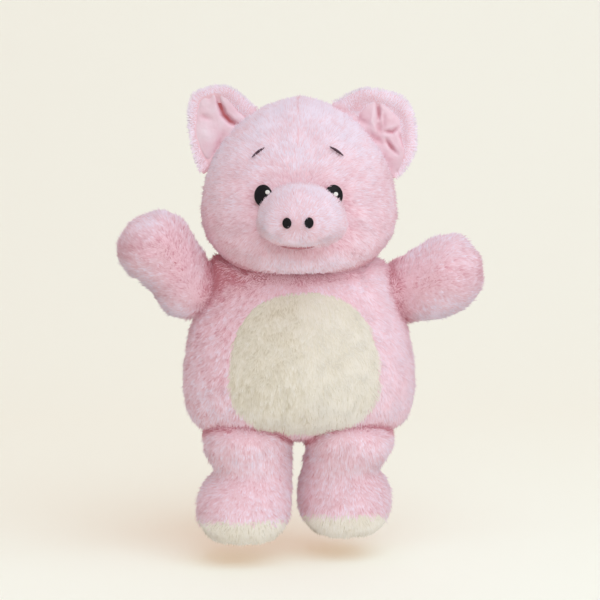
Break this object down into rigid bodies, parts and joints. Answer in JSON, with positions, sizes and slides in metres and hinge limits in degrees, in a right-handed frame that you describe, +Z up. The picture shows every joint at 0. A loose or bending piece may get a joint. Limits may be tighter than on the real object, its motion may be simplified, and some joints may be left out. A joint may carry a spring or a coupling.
{
  "type": "plush pig toy",
  "caption": "Plush pig standing upright, with a round head, blunt snout, lined ears, raised stub arms, short legs, cream belly patch and cream soles.",
  "frame": {"origin": "on the floor, under the centre of the bounding box", "axes": "+Z up, the pig faces -Y, its own right side is at -X"},
  "size_m": [0.2672, 0.1702, 0.3281],
  "materials": {
    "pink_plush": "matte",
    "cream_plush": "matte",
    "pink_satin": "satin",
    "black_thread": "satin",
    "white_thread": "satin",
    "brown_thread": "matte",
    "rose_thread": "matte",
    "stuffing": "matte"
  },
  "bodies": {
    "torso": {"body_skin": "pink_plush", "belly_patch": "cream_plush", "body_stuffing": "stuffing", "back_seam_thread": "rose_thread"},
    "neck": {"neck_seam": "rose_thread"},
    "head": {"head_skin": "pink_plush", "head_stuffing": "stuffing", "snout_skin": "pink_plush", "snout_stuffing": "stuffing", "right_eye": "black_thread", "left_eye": "black_thread", "right_eye_highlight": "white_thread", "left_eye_highlight": "white_thread", "right_nostril": "black_thread", "left_nostril": "black_thread", "right_brow": "brown_thread", "left_brow": "brown_thread", "mouth_stitch": "rose_thread"},
    "right_ear": {"right_ear_back": "pink_plush", "right_ear_lining": "pink_satin"},
    "left_ear": {"left_ear_back": "pink_plush", "left_ear_lining": "pink_satin"},
    "right_arm": {"right_arm_skin": "pink_plush", "right_arm_stuffing": "stuffing"},
    "left_arm": {"left_arm_skin": "pink_plush", "left_arm_stuffing": "stuffing"},
    "right_leg": {"right_leg_skin": "pink_plush", "right_leg_stuffing": "stuffing", "right_sole": "cream_plush"},
    "left_leg": {"left_leg_skin": "pink_plush", "left_leg_stuffing": "stuffing", "left_sole": "cream_plush"},
    "tail": {"tail": "pink_plush"}
  },
  "joints": [
    {"name": "neck_turn", "type": "hinge", "parent": "torso", "child": "neck", "pos_m": [-0.00185, 0.00843, 0.107], "axis": [0, 0, 1], "range_deg": [-25, 25], "stiffness_Nm_per_rad": 0.4},
    {"name": "neck_nod", "type": "hinge", "parent": "neck", "child": "head", "pos_m": [-0.00185, 0.00843, 0.107], "axis": [0.9962, -0.0872, 0], "range_deg": [-6, 5], "stiffness_Nm_per_rad": 1.2},
    {"name": "right_ear_bend", "type": "hinge", "parent": "head", "child": "right_ear", "pos_m": [-0.05287, 0.01389, 0.289], "axis": [0.6536, -0.0572, 0.7547], "range_deg": [-15, 15], "stiffness_Nm_per_rad": 0.03},
    {"name": "left_ear_bend", "type": "hinge", "parent": "head", "child": "left_ear", "pos_m": [0.04804, 0.00506, 0.2874], "axis": [0.647, -0.0566, -0.7604], "range_deg": [-15, 15], "stiffness_Nm_per_rad": 0.03},
    {"name": "right_shoulder", "type": "hinge", "parent": "torso", "child": "right_arm", "pos_m": [-0.08285, -0.00057, 0.184], "axis": [0, 1, 0], "range_deg": [-60, 2], "stiffness_Nm_per_rad": 0.15},
    {"name": "left_shoulder", "type": "hinge", "parent": "torso", "child": "left_arm", "pos_m": [0.07685, 0.00942, 0.1785], "axis": [0, -1, 0], "range_deg": [-32, 20], "stiffness_Nm_per_rad": 0.15},
    {"name": "right_hip", "type": "hinge", "parent": "torso", "child": "right_leg", "pos_m": [-0.04185, 0.00042, 0.066], "axis": [-1, 0, 0], "range_deg": [-15, 35], "stiffness_Nm_per_rad": 1.5},
    {"name": "left_hip", "type": "hinge", "parent": "torso", "child": "left_leg", "pos_m": [0.03565, 0.00042, 0.066], "axis": [-1, 0, 0], "range_deg": [-15, 35], "stiffness_Nm_per_rad": 1.5},
    {"name": "tail_bend", "type": "hinge", "parent": "torso", "child": "tail", "pos_m": [-0.00185, 0.06482, 0.106], "axis": [0, 0, 1], "range_deg": [-25, 25], "stiffness_Nm_per_rad": 0.01}
  ]
}
